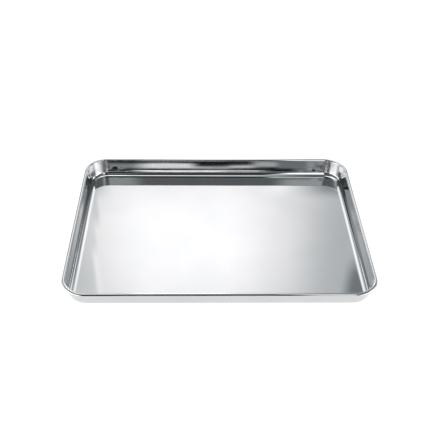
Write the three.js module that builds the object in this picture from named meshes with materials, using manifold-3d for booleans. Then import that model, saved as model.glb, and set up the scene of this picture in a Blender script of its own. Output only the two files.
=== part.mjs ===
// A shallow rectangular stainless-steel tray, 400 x 300 x 26 mm, pressed from one sheet.
// The sheet's edge is rolled outwards round a steel wire, which stiffens the rim.
// Millimetres, +Z up, +X along the long side. The origin is the centre of the underside.
import * as THREE from "three";
import { mergeVertices } from "three/addons/utils/BufferGeometryUtils.js";
import Module from "manifold-3d";

const wasm = await Module();
wasm.setup();

// Driving dimensions
const LENGTH = 400; // over the rim, along X
const WIDTH = 300; // over the rim, along Y
const HEIGHT = 26; // from the surface it stands on to the top of the rim
const SHEET = 0.7; // thickness of the pressed sheet
const CORNER_RADIUS = 32.5; // of the rim's outer edge, seen from above
const BEAD_RADIUS = 2.6; // of the rolled rim, to its outer skin
const WALL_DRAFT = THREE.MathUtils.degToRad(9.5); // the walls lean outwards by this much
const FLOOR_BEND = 7.5; // radius where the floor turns up into the walls, on the inside
const CURL_END = THREE.MathUtils.degToRad(-45); // where the curl stops, just short of the wall
const WIRE_RADIUS = 1.6;
const WIRE_JOINT_GAP = 1; // between the wire's two cut ends, which meet at the middle of the back

// How finely round shapes are divided
const CORNER_STEPS = 9; // each corner of the outline
const BEND_STEPS = 6;
const CURL_TOP_STEPS = 5; // from the wall to the highest point of the bead
const CURL_STEPS = 15; // from there to the end of the curl
const WIRE_STEPS = 10;

const BEAD_CENTRE = [BEAD_RADIUS, HEIGHT - BEAD_RADIUS]; // as [inset, z], explained at arc()
const FULL_TURN = 2 * Math.PI;
const QUARTER_TURN = FULL_TURN / 4;

// Points along an arc of a section, as [inset, z] pairs. Inset is the distance inwards from the tray's
// outermost edge. An angle of 0 points inwards and a quarter turn points up.
function arc([inset, z], radius, from, to, steps) {
  return Array.from({ length: steps + 1 }, (_, step) => {
    const angle = from + ((to - from) * step) / steps;
    return [inset + radius * Math.cos(angle), z + radius * Math.sin(angle)];
  });
}

// The centre of the bend between floor and wall. The wall's inner face is the straight line that touches
// both the bead's outer skin and the inside of this bend.
function floorBendCentre() {
  const [[touchInset, touchZ]] = arc(BEAD_CENTRE, BEAD_RADIUS, WALL_DRAFT, WALL_DRAFT, 1);
  const z = SHEET + FLOOR_BEND;
  const inset = touchInset + (FLOOR_BEND + (touchZ - z) * Math.sin(WALL_DRAFT)) / Math.cos(WALL_DRAFT);
  return [inset, z];
}

// One skin of the sheet, from the edge of the flat floor, up the wall and round the curl to its end.
function skin(bendRadius, curlRadius) {
  const wallTurn = -2 * QUARTER_TURN + WALL_DRAFT;
  return [
    ...arc(floorBendCentre(), bendRadius, -QUARTER_TURN, wallTurn, BEND_STEPS),
    ...arc(BEAD_CENTRE, curlRadius, WALL_DRAFT, QUARTER_TURN, CURL_TOP_STEPS),
    ...arc(BEAD_CENTRE, curlRadius, QUARTER_TURN, FULL_TURN + CURL_END, CURL_STEPS).slice(1),
  ];
}

// The rounded rectangle that lies a given inset inside the tray's outermost edge, anticlockwise.
function outline(inset) {
  const radius = CORNER_RADIUS - inset;
  const reachX = LENGTH / 2 - CORNER_RADIUS;
  const reachY = WIDTH / 2 - CORNER_RADIUS;
  const corners = [[1, 1], [-1, 1], [-1, -1], [1, -1]];
  return corners.flatMap(([signX, signY], quarter) =>
    Array.from({ length: CORNER_STEPS + 1 }, (_, step) => {
      const angle = (quarter + step / CORNER_STEPS) * QUARTER_TURN;
      return [signX * reachX + radius * Math.cos(angle), signY * reachY + radius * Math.sin(angle)];
    }),
  );
}

// Carries a section round the outline, as LatheGeometry carries one round a circle. A closed section makes
// a ring. An open one runs from the floor's underside to its top, and both flats are closed by a fan.
function carryRound(section, closed) {
  const stations = outline(0).length;
  const positions = section.flatMap(([inset, z]) => outline(inset).flatMap(([x, y]) => [x, y, z]));
  const underside = section.length * stations;
  const floorTop = underside + 1;
  const lastRing = section.length - 1;
  if (!closed) positions.push(0, 0, section[0][1], 0, 0, section[lastRing][1]);

  const faces = [];
  for (let station = 0; station < stations; station += 1) {
    const next = (station + 1) % stations;
    for (let ring = 0; ring < (closed ? section.length : lastRing); ring += 1) {
      const lower = ring * stations;
      const upper = ((ring + 1) % section.length) * stations;
      faces.push(lower + station, lower + next, upper + next);
      faces.push(lower + station, upper + next, upper + station);
    }
    if (closed) continue;
    faces.push(underside, next, station);
    faces.push(floorTop, lastRing * stations + station, lastRing * stations + next);
  }

  const geometry = new THREE.BufferGeometry();
  geometry.setAttribute("position", new THREE.Float32BufferAttribute(positions, 3));
  geometry.setIndex(faces);
  return geometry;
}

// The pressed sheet: floor, walls and curl in one section, out along one skin and back along the other.
function panGeometry() {
  const underSkin = skin(FLOOR_BEND + SHEET, BEAD_RADIUS - SHEET);
  const topSkin = skin(FLOOR_BEND, BEAD_RADIUS);
  return carryRound([...underSkin, ...topSkin.reverse()], false);
}

function toManifold(geometry) {
  const bare = geometry.clone();
  bare.deleteAttribute("normal");
  bare.deleteAttribute("uv");
  const merged = mergeVertices(bare);
  const vertProperties = new Float32Array(merged.attributes.position.array);
  const triVerts = new Uint32Array(merged.index.array);
  return new wasm.Manifold(new wasm.Mesh({ numProp: 3, vertProperties, triVerts }));
}

function fromManifold(solid) {
  const { vertProperties, triVerts } = solid.getMesh();
  const geometry = new THREE.BufferGeometry();
  geometry.setAttribute("position", new THREE.BufferAttribute(vertProperties, 3));
  geometry.setIndex(new THREE.BufferAttribute(triVerts, 1));
  return geometry;
}

// The wire inside the curl: a ring all round the tray, cut through where its two ends meet.
function wireGeometry() {
  const [inset, z] = BEAD_CENTRE;
  const ring = carryRound(arc(BEAD_CENTRE, WIRE_RADIUS, FULL_TURN, 0, WIRE_STEPS).slice(1), true);
  const cut = new THREE.BoxGeometry(WIRE_JOINT_GAP, 4 * WIRE_RADIUS, 4 * WIRE_RADIUS);
  cut.translate(0, WIDTH / 2 - inset, z);
  return fromManifold(toManifold(ring).subtract(toManifold(cut)));
}

function piece(name, geometry, material) {
  geometry.computeVertexNormals();
  const mesh = new THREE.Mesh(geometry, material);
  mesh.name = name;
  return mesh;
}

const polishedSteel = new THREE.MeshStandardMaterial({ color: 0xc9cbcc, roughness: 0.12, metalness: 1 });
const drawnWire = new THREE.MeshStandardMaterial({ color: 0xa9acae, roughness: 0.4, metalness: 1 });

const tray = new THREE.Group();
tray.name = "rectangular_tray";
tray.add(piece("tray_pan", panGeometry(), polishedSteel));
tray.add(piece("rim_wire", wireGeometry(), drawnWire));

export default tray;
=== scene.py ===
"""A shallow, mirror-polished stainless-steel tray: one pressed sheet with its edge rolled round a wire.

Metres, +Z up, +X along the long side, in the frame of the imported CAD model. The CAD nodes tray_pan and
rim_wire are replaced by fine meshes of the same shape and size, built here from the same dimensions.
"""

import math

import bpy
from mathutils import Matrix, Vector, geometry, noise


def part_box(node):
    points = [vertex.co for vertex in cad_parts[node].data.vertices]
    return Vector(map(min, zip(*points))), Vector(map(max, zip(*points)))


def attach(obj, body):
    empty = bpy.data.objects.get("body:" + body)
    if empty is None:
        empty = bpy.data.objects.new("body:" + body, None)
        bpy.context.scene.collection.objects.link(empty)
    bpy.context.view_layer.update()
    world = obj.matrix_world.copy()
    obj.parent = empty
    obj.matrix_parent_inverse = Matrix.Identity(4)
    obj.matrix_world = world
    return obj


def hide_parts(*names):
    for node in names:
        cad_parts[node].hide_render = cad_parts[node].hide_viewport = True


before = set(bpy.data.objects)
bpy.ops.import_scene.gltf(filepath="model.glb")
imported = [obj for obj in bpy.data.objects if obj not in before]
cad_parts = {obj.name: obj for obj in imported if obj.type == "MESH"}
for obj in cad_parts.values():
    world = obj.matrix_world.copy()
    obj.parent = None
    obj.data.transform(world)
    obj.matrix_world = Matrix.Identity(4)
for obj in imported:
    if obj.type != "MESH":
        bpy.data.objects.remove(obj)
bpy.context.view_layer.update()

MM = 0.001
FULL_TURN = 2 * math.pi
QUARTER_TURN = FULL_TURN / 4

# The tray's dimensions. The outer ones come from the frame, and the rest are those of the CAD source.
tray_low, tray_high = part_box("tray_pan")
HALF_LENGTH = (tray_high.x - tray_low.x) / 2
HALF_WIDTH = (tray_high.y - tray_low.y) / 2
HEIGHT = tray_high.z
SHEET = 0.7 * MM
CORNER_RADIUS = 32.5 * MM
BEAD_RADIUS = 2.6 * MM
WALL_DRAFT = math.radians(9.5)
FLOOR_BEND = 7.5 * MM
CURL_END = math.radians(-45)
WIRE_RADIUS = 1.6 * MM
WIRE_JOINT_GAP = 1 * MM
BEAD_CENTRE = (BEAD_RADIUS, HEIGHT - BEAD_RADIUS)  # inset from the outermost edge, and height

# The unevenness that pressing leaves in the sheet, and how far apart its swells lie
UNDULATION = 0.03 * MM
UNDULATION_SPACING = 110 * MM
UNDULATION_SEED = 3  # without a seed, noise_vector gives different swells on every run
WALL_FOOT = 6 * MM
WALL_TOP = HEIGHT - BEAD_RADIUS
WALL_BOW = 0.10 * MM  # the long walls bow outwards by this much, more in some places than in others
WALL_BOW_SWAY = 0.02 * MM
WALL_BOW_SPACING = 75 * MM
FLUTE_DEPTH = 0.15 * MM
FLUTES_PER_RADIAN = 3
FLUTE_SPACING = 40 * MM
# Dimples along the foot of the back wall: x, height, radius and depth, in millimetres. A negative one is
# a dent towards the inside.
DIMPLES = (
    (-168, 9, 4.5, 0.10),
    (-157, 9, 3.5, -0.10),
    (-149, 9, 3, 0.10),
    (156, 9, 2.5, 0.14),
    (168, 9, 4, -0.10),
)

# How finely the meshes are divided
CORNER_STEPS = 40
SIDE_STEP = 3 * MM
BEND_STEPS = 18
WALL_STEPS = 12
RIM_LIP = 0.1  # a share of a wall step: a narrow ring under the rim, which keeps the wall's shading flat
FLOOR_STEP = 12 * MM
FLOOR_LIP = 1.5 * MM  # a narrow ring round the floor, which does the same for the floor
CURL_STEPS = 32
WIRE_STEPS = 24
SAME_PLACE = 1e-6  # points closer than this are one


def make_camera():
    """A view from the front, above, and a little left of the middle."""
    place = Vector((-0.02704, -0.77707, 0.65140))
    down, right_turn, roll = (math.radians(a) for a in (38.53, 1.652, 1.084))
    ahead = Vector(
        (math.sin(right_turn) * math.cos(down), math.cos(right_turn) * math.cos(down), -math.sin(down))
    )
    level = Vector((math.cos(right_turn), -math.sin(right_turn), 0))
    upright = level.cross(ahead)
    side = level * math.cos(roll) + upright * math.sin(roll)
    top = upright * math.cos(roll) - level * math.sin(roll)
    data = bpy.data.cameras.new("camera")
    data.sensor_width = 36
    data.lens = 60.04
    data.clip_start = 0.01
    data.clip_end = 50
    camera = bpy.data.objects.new("camera", data)
    camera.matrix_world = Matrix.Translation(place) @ Matrix((side, top, -ahead)).transposed().to_4x4()
    bpy.context.scene.collection.objects.link(camera)
    bpy.context.scene.camera = camera


# ---- node helpers ----


class Nodes:
    """A short way to write a node tree: each call adds one node, wires its inputs and returns an output."""

    def __init__(self, tree):
        self.tree = tree
        tree.nodes.clear()

    def add(self, kind, inputs=(), output=0, **settings):
        node = self.tree.nodes.new(kind)
        for name, value in settings.items():
            setattr(node, name, value)
        for key, value in dict(inputs).items():
            if isinstance(value, bpy.types.NodeSocket):
                self.tree.links.new(value, node.inputs[key])
            else:
                node.inputs[key].default_value = value
        return node.outputs[output] if len(node.outputs) else node

    def math(self, operation, *values):
        return self.add("ShaderNodeMath", enumerate(values), operation=operation)

    def ramp(self, value, low, high, bottom=0.0, top=1.0):
        """value's place between low and high as a smooth step from bottom to top."""
        names = {"Value": value, "From Min": low, "From Max": high, "To Min": bottom, "To Max": top}
        return self.add("ShaderNodeMapRange", names, interpolation_type="SMOOTHSTEP")

    def noise(self, place, scale, detail=2.0, roughness=0.5):
        names = {"Vector": place, "Scale": scale, "Detail": detail, "Roughness": roughness}
        return self.add("ShaderNodeTexNoise", names)

    def scaled(self, place, x, y, z, turn=0.0):
        names = {"Vector": place, "Scale": (x, y, z), "Rotation": (0, 0, turn)}
        return self.add("ShaderNodeMapping", names)

    def mix(self, share, first, second):
        """A colour between first, where share is 0, and second, where it is 1."""
        # The Mix node keeps its two colours in inputs 6 and 7, and the mixed colour in output 2.
        inputs = {0: share, 6: (*first, 1), 7: (*second, 1)}
        return self.add("ShaderNodeMix", inputs, output=2, data_type="RGBA")


# ---- materials ----


def polished_steel():
    """Bright polished stainless steel: rolling grain along the tray, hairline scratches, wiping smears."""
    material = bpy.data.materials.new("mirror_steel")
    material.use_nodes = True
    nodes = Nodes(material.node_tree)
    place = nodes.add("ShaderNodeTexCoord", output="Object")

    grain = nodes.noise(nodes.scaled(place, 25, 2600, 2600), 1.0, 3.0)
    smears = nodes.noise(nodes.scaled(place, 9, 22, 22, math.radians(24)), 1.0, 4.0, 0.6)
    cloud = nodes.noise(place, 14, 2.0)
    scratches = []
    for turn, density in ((8, 160), (-31, 120), (67, 90)):
        streak = nodes.noise(nodes.scaled(place, 6, 9 * density, 6, math.radians(turn)), 1.0, 1.0)
        scratches.append(nodes.ramp(streak, 0.70, 0.76))
    scratch = nodes.math("MAXIMUM", nodes.math("MAXIMUM", scratches[0], scratches[1]), scratches[2])

    # Stretching leaves the metal of the drawn corners a little matt.
    split = nodes.add("ShaderNodeSeparateXYZ", {0: place}).node
    drawn = nodes.ramp(split.outputs["Z"], 3 * MM, 6 * MM)
    for axis, half in (("X", HALF_LENGTH), ("Y", HALF_WIDTH)):
        reach = nodes.math("ABSOLUTE", split.outputs[axis])
        start = half - CORNER_RADIUS
        drawn = nodes.math("MULTIPLY", nodes.ramp(reach, start - 4 * MM, start + 8 * MM), drawn)

    rough = nodes.ramp(smears, 0.35, 0.75, 0.015, 0.05)
    rough = nodes.math("MULTIPLY_ADD", drawn, 0.2, rough)
    rough = nodes.math("MULTIPLY_ADD", grain, 0.02, rough)
    rough = nodes.math("MULTIPLY_ADD", scratch, 0.08, rough)
    tint = nodes.mix(nodes.ramp(cloud, 0.3, 0.7), (0.565, 0.576, 0.580), (0.592, 0.600, 0.606))
    height = nodes.math("MULTIPLY_ADD", scratch, -1.0, nodes.math("MULTIPLY", grain, 0.6))
    bump = nodes.add("ShaderNodeBump", {"Height": height, "Distance": 0.00015 * MM, "Strength": 1.0})
    shader = nodes.add(
        "ShaderNodeBsdfPrincipled",
        {"Base Color": tint, "Metallic": 1.0, "Roughness": rough, "Normal": bump},
    )
    nodes.add("ShaderNodeOutputMaterial", {"Surface": shader})
    return material


def drawn_wire():
    """Dull drawn steel wire with die lines along it."""
    material = bpy.data.materials.new("dull_wire")
    material.use_nodes = True
    nodes = Nodes(material.node_tree)
    place = nodes.add("ShaderNodeTexCoord", output="Object")
    lines = nodes.noise(nodes.scaled(place, 60, 60, 3500), 1.0, 3.0)
    cloud = nodes.noise(place, 90, 3.0)
    tint = nodes.mix(cloud, (0.33, 0.34, 0.35), (0.46, 0.47, 0.48))
    rough = nodes.math("MULTIPLY_ADD", lines, 0.2, 0.3)
    bump = nodes.add("ShaderNodeBump", {"Height": lines, "Distance": 0.02 * MM, "Strength": 1.0})
    shader = nodes.add(
        "ShaderNodeBsdfPrincipled",
        {"Base Color": tint, "Metallic": 1.0, "Roughness": rough, "Normal": bump},
    )
    nodes.add("ShaderNodeOutputMaterial", {"Surface": shader})
    return material


# ---- the tray's shape ----


def arc(centre, radius, start, end, steps):
    """Points of a section, as (inset, z). An angle of 0 points inwards and a quarter turn points up."""
    angles = [start + (end - start) * step / steps for step in range(steps + 1)]
    return [(centre[0] + radius * math.cos(a), centre[1] + radius * math.sin(a)) for a in angles]


def between(start, end, steps):
    """The points that divide the straight line from start to end, without the two ends."""
    shares = [step / steps for step in range(1, steps)]
    return [tuple(Vector(start).lerp(Vector(end), share)) for share in shares]


def floor_bend_centre():
    """The wall's inner face touches both the bead's outer skin and the inside of this bend."""
    touch = arc(BEAD_CENTRE, BEAD_RADIUS, WALL_DRAFT, WALL_DRAFT, 1)[0]
    z = SHEET + FLOOR_BEND
    inset = touch[0] + (FLOOR_BEND + (touch[1] - z) * math.sin(WALL_DRAFT)) / math.cos(WALL_DRAFT)
    return inset, z


def skin(bend_radius, curl_radius):
    """One skin of the sheet: from the flat floor's edge, up the wall, and round the curl to its end."""
    wall_turn = -2 * QUARTER_TURN + WALL_DRAFT
    bend = arc(floor_bend_centre(), bend_radius, -QUARTER_TURN, wall_turn, BEND_STEPS)
    curl = arc(BEAD_CENTRE, curl_radius, WALL_DRAFT, FULL_TURN + CURL_END, CURL_STEPS)
    floor_edge = (bend[0][0] + FLOOR_LIP, bend[0][1])
    wall = between(bend[-1], curl[0], WALL_STEPS)
    wall.append(tuple(Vector(curl[0]).lerp(Vector(wall[-1]), RIM_LIP)))
    return [floor_edge] + bend + wall + curl


def outline(inset):
    """The rounded rectangle that lies inset inside the tray's outermost edge, anticlockwise from +X."""
    radius = CORNER_RADIUS - inset
    reach = Vector((HALF_LENGTH - CORNER_RADIUS, HALF_WIDTH - CORNER_RADIUS))
    points = []
    for quarter, (sign_x, sign_y) in enumerate(((1, 1), (-1, 1), (-1, -1), (1, -1))):
        for step in range(CORNER_STEPS + 1):
            angle = (quarter + step / CORNER_STEPS) * QUARTER_TURN
            points.append(
                (sign_x * reach.x + radius * math.cos(angle), sign_y * reach.y + radius * math.sin(angle))
            )
        side = 2 * (reach.x if quarter % 2 == 0 else reach.y)
        count = math.ceil(side / SIDE_STEP)
        turn = (quarter + 1) * QUARTER_TURN
        step_x, step_y = -math.sin(turn) * side / count, math.cos(turn) * side / count
        for step in range(1, count):
            x, y = points[-1]
            points.append((x + step_x, y + step_y))
    return points


def outward(point):
    """The level direction from the tray's middle out through the wall, and whether this is in a corner."""
    core = Vector((HALF_LENGTH - CORNER_RADIUS, HALF_WIDTH - CORNER_RADIUS))
    over = Vector((max(abs(point.x) - core.x, 0), max(abs(point.y) - core.y, 0)))
    way = Vector((math.copysign(over.x, point.x), math.copysign(over.y, point.y), 0)).normalized()
    return way, over.x > 0 and over.y > 0


def unevenness(point):
    """How far a point of the sheet lies off the ideal shape, as pressing leaves it.

    The whole sheet undulates a little, the long walls bow outwards, the drawn corners have faint upright
    flutes, and a few shallow dimples lie along the foot of the back wall.
    """
    offset = noise.noise_vector(point / UNDULATION_SPACING) * UNDULATION
    share = (point.z - WALL_FOOT) / (WALL_TOP - WALL_FOOT)
    way, in_corner = outward(point)
    bow = 4 * share * (1 - share) if share < 1 else 4 * (1 - share)
    sway = noise.noise(Vector((point.x / WALL_BOW_SPACING, point.y / WALL_BOW_SPACING, 0)))
    if share > 0:
        offset += way * bow * abs(way.y) * (WALL_BOW + WALL_BOW_SWAY * sway)
    if in_corner:
        angle = math.atan2(way.y, way.x)
        flute = noise.noise(Vector((angle * FLUTES_PER_RADIAN, 0, point.z / FLUTE_SPACING)))
        bulge = math.sin(math.pi * min(max(share, 0), 1)) ** 2
        offset += way * bulge * FLUTE_DEPTH * math.sin(2 * angle) ** 2 * flute
    if way.y > 0:
        for x, z, radius, depth in DIMPLES:
            away = math.hypot(point.x / MM - x, point.z / MM - z) / radius
            offset += way * depth * MM * math.exp(-away * away)
    return offset


def floor_grid(rim):
    """The flat floor inside the ring rim: points on a square grid, joined to the ring by triangles."""
    columns = round(2 * HALF_LENGTH / FLOOR_STEP)
    rows = round(2 * HALF_WIDTH / FLOOR_STEP)
    reach = max(x for x, y in rim) - (HALF_LENGTH - CORNER_RADIUS) - FLOOR_STEP / 2
    inside = []
    for column in range(columns + 1):
        for row in range(rows + 1):
            x = (2 * column / columns - 1) * HALF_LENGTH
            y = (2 * row / rows - 1) * HALF_WIDTH
            over_x = max(abs(x) - (HALF_LENGTH - CORNER_RADIUS), 0)
            over_y = max(abs(y) - (HALF_WIDTH - CORNER_RADIUS), 0)
            if math.hypot(over_x, over_y) < reach:
                inside.append((x, y))
    points = [Vector(p) for p in rim + inside]
    ring = [(i, (i + 1) % len(rim)) for i in range(len(rim))]
    inside_only, tolerance = 1, 1e-7
    return geometry.delaunay_2d_cdt(points, ring, [], inside_only, tolerance)


def carry_round(section, closed):
    """The mesh of a section carried round the outline. An open section is closed by its two floors."""
    stations = len(outline(0))
    vertices = [(x, y, z) for inset, z in section for x, y in outline(inset)]
    faces = []
    rings = len(section) if closed else len(section) - 1
    for ring in range(rings):
        low, high = ring * stations, (ring + 1) % len(section) * stations
        for a in range(stations):
            b = (a + 1) % stations
            faces.append((low + a, low + b, high + b, high + a))
    if closed:
        return vertices, faces
    for ring, up in ((0, False), (len(section) - 1, True)):
        z = section[ring][1]
        rim = outline(section[ring][0])
        points, _, triangles, originals, _, _ = floor_grid(rim)
        numbers = []
        for point, source in zip(points, originals):
            if source and source[0] < len(rim):
                numbers.append(ring * stations + source[0])
            else:
                numbers.append(len(vertices))
                vertices.append((point.x, point.y, z))
        for triangle in triangles:
            face = [numbers[i] for i in triangle]
            faces.append(tuple(face if up else reversed(face)))
    return vertices, faces


def add_piece(name, vertices, faces, material, node):
    mesh = bpy.data.meshes.new(name)
    mesh.from_pydata([Vector(v) + unevenness(Vector(v)) for v in vertices], [], faces)
    mesh.validate()
    mesh.shade_smooth()
    mesh.set_sharp_from_angle(angle=math.radians(40))
    mesh.materials.append(material)
    piece = bpy.data.objects.new(name, mesh)
    bpy.context.scene.collection.objects.link(piece)
    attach(piece, "root")
    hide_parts(node)
    return piece


def make_pan():
    under = skin(FLOOR_BEND + SHEET, BEAD_RADIUS - SHEET)
    top = skin(FLOOR_BEND, BEAD_RADIUS)
    vertices, faces = carry_round(under + top[::-1], False)
    add_piece("pressed_pan", vertices, faces, polished_steel(), "tray_pan")


def make_wire():
    """The wire inside the curl. Its two cut ends meet, with a small gap, at the middle of the back."""
    section = arc(BEAD_CENTRE, WIRE_RADIUS, FULL_TURN, 0, WIRE_STEPS)[1:]
    vertices = []
    for inset, z in section:
        ring = outline(inset)
        start = next(i for i, (x, y) in enumerate(ring) if y > 0 and x < -WIRE_JOINT_GAP)
        back = ring[start][1]
        before = [(x, y) for x, y in ring[:start] if y < back - SAME_PLACE or x > WIRE_JOINT_GAP]
        ring = ring[start:] + before
        ends = [(-WIRE_JOINT_GAP / 2, back), (WIRE_JOINT_GAP / 2, back)]
        vertices += [(x, y, z) for x, y in ends[:1] + ring + ends[1:]]
    stations = len(vertices) // WIRE_STEPS
    faces = []
    for step in range(WIRE_STEPS):
        low, high = step * stations, (step + 1) % WIRE_STEPS * stations
        for a in range(stations - 1):
            faces.append((low + a, low + a + 1, high + a + 1, high + a))
    first_end = [step * stations for step in range(WIRE_STEPS)]
    faces.append(tuple(first_end))
    faces.append(tuple(reversed([number + stations - 1 for number in first_end])))
    add_piece("wire_in_rim", vertices, faces, drawn_wire(), "rim_wire")


# ---- stage: a white floor inside a light tent ----

TENT_SIDE = 1.1
TENT_DEPTH = 1.0
TENT_TOP = 1.5
TENT_STRENGTH = 1.14
FLOOR_REACH = 6
FLOOR_GAP = 0.2 * MM  # between the tray's underside and the floor
FLOOR_GLOW = 1.62
FLOOR_GLOW_SHARE = 0.6

# The glowing cloth of the tent, seen only in reflections. Each wall lies in the plane of two axes and has
# a base strength and patches that add to it. A patch gives its strength and, along each axis in metres,
# where it begins, is full, begins to fade and ends. The front wall is mostly dark: the camera is there.
ALL = (-9, -8, 8, 9)
TENT = {
    "back": {
        "axes": "xz",
        "base": 0.34,
        "patches": (
            (0.95, ALL, (-9, -8, 0.10, 0.24)),
            (0.34, ALL, (0.65, 0.71, 8, 9)),
            (0.60, (-0.38, -0.28, 0.20, 0.34), (0.60, 0.65, 0.65, 0.71)),
            (0.27, (0.14, 0.24, 0.30, 0.38), (0.59, 0.64, 0.65, 0.71)),
            (0.57, (-0.52, -0.16, 0.04, 0.39), (0.30, 0.84, 0.86, 1.60)),
            (0.26, (-0.350, -0.335, 0.26, 0.46), (0.65, 0.71, 0.76, 0.84)),
            (0.26, (-0.368, -0.353, 0.26, 0.46), (0.76, 0.84, 0.88, 0.96)),
            (0.26, (-0.385, -0.370, 0.26, 0.46), (0.88, 0.96, 8, 9)),
            (0.09, (-9, -8, -0.37, -0.35), (0.65, 0.71, 8, 9)),
            (-0.42, (0.455, 0.51, 8, 9), (0.90, 1.04, 8, 9)),
            (0.60, (0.80, 0.90, 8, 9), (0.14, 0.22, 0.58, 0.68)),
            (4.00, (-0.26, -0.18, 0.02, 0.10), (0.28, 0.34, 0.50, 0.56)),
            (0.28, (-0.75, -0.65, -0.39, -0.34), (0.25, 0.33, 0.60, 0.66)),
        ),
    },
    "front": {
        "axes": "xz",
        "base": 0.02,
        "patches": (
            (0.12, ALL, (-9, -8, 0.21, 0.23)),
            (3.20, (-0.26, -0.20, 0.14, 0.21), (0.225, 0.235, 0.254, 0.264)),
            (0.48, (-9, -8, -0.24, -0.16), (0.290, 0.298, 0.318, 0.342)),
            (1.50, (-0.25, -0.17, -0.07, -0.02), (0.290, 0.298, 0.326, 0.336)),
            (1.00, (-0.07, -0.02, 0.05, 0.09), (0.288, 0.296, 0.303, 0.313)),
            (1.40, (0.05, 0.09, 0.13, 0.17), (0.296, 0.303, 0.310, 0.320)),
            (0.80, (0.13, 0.17, 0.21, 0.24), (0.301, 0.309, 0.338, 0.350)),
            (0.32, (0.21, 0.24, 0.31, 0.33), (0.288, 0.296, 0.40, 0.46)),
            (0.32, (0.26, 0.30, 0.34, 0.36), (0.20, 0.22, 0.285, 0.295)),
            (0.56, (0.31, 0.33, 0.34, 0.355), (0.280, 0.290, 0.38, 0.44)),
            (0.64, (0.34, 0.36, 0.60, 0.70), (0.280, 0.345, 0.54, 0.64)),
            (2.20, (0.26, 0.30, 0.47, 0.52), (0.43, 0.68, 1.26, 1.36)),
            (0.24, ALL, (1.34, 1.38, 8, 9)),
            (0.46, (0.26, 0.36, 0.70, 0.80), (1.34, 1.38, 8, 9)),
            (2.80, (-9, -8, -0.80, -0.45), (-9, -8, 0.46, 0.50)),
            (1.70, (0.50, 0.80, 8, 9), (-9, -8, 0.52, 0.60)),
            (0.25, (0.60, 0.90, 8, 9), (0.52, 0.60, 8, 9)),
            (0.15, (-9, -8, -0.80, -0.50), (0.60, 0.75, 8, 9)),
        ),
    },
    "left": {
        "axes": "yz",
        "base": 0.12,
        "patches": (
            (3.20, (-9, -8, -0.16, -0.06), (-9, -8, 0.45, 0.48)),
            (1.60, (-0.16, -0.06, 0.25, 0.45), (-9, -8, 0.42, 0.45)),
            (0.60, (0.40, 0.60, 8, 9), ALL),
        ),
    },
    "right": {
        "axes": "yz",
        "base": 0.12,
        "patches": (
            (2.80, (-9, -8, -0.12, -0.02), (-9, -8, 0.50, 0.56)),
            (1.30, (-0.12, -0.02, 0.04, 0.14), (-9, -8, 0.50, 0.56)),
            (0.65, (0.25, 0.50, 8, 9), (-9, -8, 0.70, 0.85)),
        ),
    },
    "top": {
        "axes": "xy",
        "base": 0.05,
        "patches": (
            (0.19, ALL, (-9, -8, -0.82, -0.68)),
            (0.36, (-0.48, -0.41, -0.32, -0.24), (-9, -8, -0.80, -0.70)),
            (0.17, (0.40, 0.50, 8, 9), (-0.82, -0.68, 0.06, 0.22)),
            (0.17, (-9, -8, -0.50, -0.40), (-0.82, -0.68, 0.06, 0.22)),
            (0.46, (0.26, 0.36, 0.60, 0.70), (-9, -8, -0.90, -0.82)),
            (1.10, (0.22, 0.27, 0.44, 0.48), (-0.82, -0.74, -0.48, -0.40)),
            (1.25, (-0.95, -0.50, 0.15, 0.45), (0.02, 0.36, 8, 9)),
            (0.60, (-9, -8, -0.32, -0.26), (0.08, 0.14, 0.40, 0.50)),
            (0.80, (-9, -8, 0.15, 0.45), (0.35, 0.55, 8, 9)),
            (0.30, (0.30, 0.50, 8, 9), (0.02, 0.36, 8, 9)),
        ),
    },
}


def tent_wall(name):
    """The four corners of one wall of the tent."""
    side, deep, top = TENT_SIDE, TENT_DEPTH, TENT_TOP
    return {
        "back": ((side, deep, 0), (-side, deep, 0), (-side, deep, top), (side, deep, top)),
        "front": ((-side, -deep, 0), (side, -deep, 0), (side, -deep, top), (-side, -deep, top)),
        "left": ((-side, deep, 0), (-side, -deep, 0), (-side, -deep, top), (-side, deep, top)),
        "right": ((side, -deep, 0), (side, deep, 0), (side, deep, top), (side, -deep, top)),
        "top": ((-side, -deep, top), (side, -deep, top), (side, deep, top), (-side, deep, top)),
    }[name]


def add_stage(name, corners, surface):
    """One flat stage piece. surface(nodes, place) gives its shader from the place on it."""
    mesh = bpy.data.meshes.new(name)
    mesh.from_pydata(corners, [], [(0, 1, 2, 3)])
    material = bpy.data.materials.new(name)
    material.use_nodes = True
    nodes = Nodes(material.node_tree)
    place = nodes.add("ShaderNodeTexCoord", output="Object")
    nodes.add("ShaderNodeOutputMaterial", {"Surface": surface(nodes, place)})
    mesh.materials.append(material)
    piece = bpy.data.objects.new(name, mesh)
    bpy.context.scene.collection.objects.link(piece)
    return piece


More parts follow.
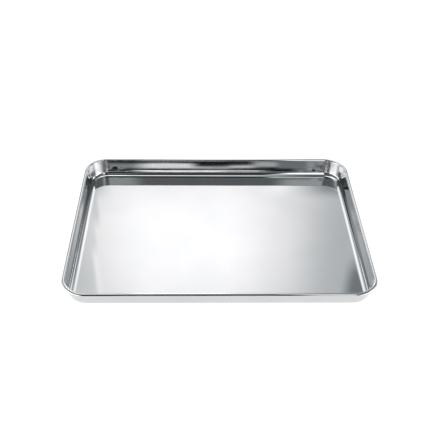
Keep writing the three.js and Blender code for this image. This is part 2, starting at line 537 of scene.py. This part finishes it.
def make_floor():
    """A plain white floor that glows a little, so that the tray's shadow on it stays faint."""

    def surface(nodes, place):
        glow = nodes.add("ShaderNodeEmission", {"Strength": FLOOR_GLOW})
        matt = nodes.add("ShaderNodeBsdfDiffuse", {"Color": (0.95, 0.95, 0.95, 1)})
        return nodes.add("ShaderNodeMixShader", {0: FLOOR_GLOW_SHARE, 1: matt, 2: glow})

    corners = ((-1, -1), (1, -1), (1, 1), (-1, 1))
    add_stage("floor", [(x * FLOOR_REACH, y * FLOOR_REACH, -FLOOR_GAP) for x, y in corners], surface)


def patch_strength(nodes, strength, spans, places):
    """One patch's strength at a place on its wall. An end that lies past the wall needs no nodes."""
    for (begin, full, fade, end), place in zip(spans, places):
        if begin > ALL[0]:
            strength = nodes.math("MULTIPLY", nodes.ramp(place, begin, full), strength)
        if end < ALL[-1]:
            strength = nodes.math("MULTIPLY", nodes.ramp(place, fade, end, 1.0, 0.0), strength)
    return strength


def make_tent():
    for name, wall in TENT.items():

        def surface(nodes, place):
            split = nodes.add("ShaderNodeSeparateXYZ", {0: place}).node
            along, up = (split.outputs["xyz".index(axis)] for axis in wall["axes"])
            light = wall["base"]
            for strength, *spans in wall["patches"]:
                light = nodes.math("ADD", light, patch_strength(nodes, strength, spans, (along, up)))
            tint = nodes.mix(nodes.ramp(light, 0.3, 1.2), (0.90, 0.965, 1), (1, 0.985, 0.99))
            glow = nodes.math("MULTIPLY", light, TENT_STRENGTH)
            return nodes.add("ShaderNodeEmission", {"Color": tint, "Strength": glow})

        cloth = add_stage("tent_" + name, tent_wall(name), surface)
        cloth.visible_camera = False
        cloth.visible_shadow = False


def make_surroundings():
    """Past the floor's edge there is only white."""
    world = bpy.data.worlds.new("surroundings")
    bpy.context.scene.world = world
    world.use_nodes = True
    nodes = Nodes(world.node_tree)
    background = nodes.add("ShaderNodeBackground", {"Color": (1, 1, 1, 1), "Strength": 1.0})
    nodes.add("ShaderNodeOutputWorld", {"Surface": background})


def make_looks():
    scene = bpy.context.scene
    scene.view_settings.view_transform = "Standard"
    scene.cycles.max_bounces = 16
    scene.cycles.glossy_bounces = 12


make_camera()
make_looks()
make_floor()
make_tent()
make_surroundings()
noise.seed_set(UNDULATION_SEED)
make_pan()
make_wire()
